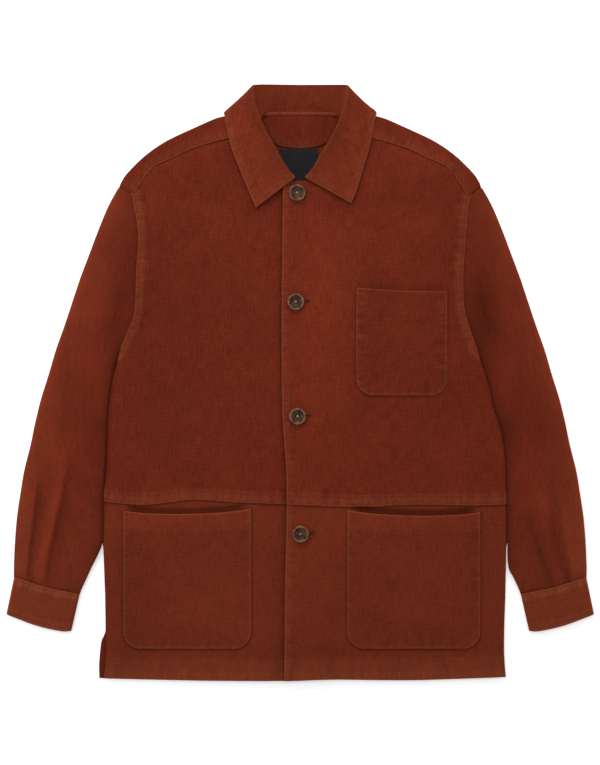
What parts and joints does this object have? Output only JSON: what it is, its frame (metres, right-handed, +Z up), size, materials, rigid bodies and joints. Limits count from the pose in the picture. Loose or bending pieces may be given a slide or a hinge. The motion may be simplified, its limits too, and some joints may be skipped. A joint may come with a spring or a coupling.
{
  "type": "chore jacket laid flat",
  "caption": "Buttoned chore jacket laid flat: point collar, chest pocket, two lower patch pockets, waist seam and cuffed long sleeves.",
  "frame": {"origin": "on the surface that the jacket lies on, under the middle of its bounding box", "axes": "+Z up out of the front of the jacket; +Y from the hem towards the collar; +X towards the wearer's left sleeve"},
  "size_m": [0.788, 0.7991, 0.0153],
  "materials": {
    "jacket_cloth": "brushed rust-brown cotton, soft nap",
    "collar_cloth": "the same cloth, worn lighter along its edges",
    "pocket_cloth": "the same cloth, worn lighter along its seams",
    "label_cloth": "smooth black woven tape, bare",
    "button_horn": "dark brown mottled, satin polish"
  },
  "bodies": {
    "root": {"back": "jacket_cloth", "front_upper_right": "jacket_cloth", "front_upper_left": "jacket_cloth", "front_lower_right": "jacket_cloth", "front_lower_left": "jacket_cloth", "sleeve_right": "jacket_cloth", "sleeve_left": "jacket_cloth", "cuff_right": "jacket_cloth", "cuff_left": "jacket_cloth", "collar": "collar_cloth", "neck_facing": "jacket_cloth", "label": "label_cloth", "pocket_lower_right": "pocket_cloth", "pocket_lower_left": "pocket_cloth", "pocket_chest": "pocket_cloth", "button_1": "button_horn", "button_2": "button_horn", "button_3": "button_horn", "button_4": "button_horn"}
  },
  "joints": []
}
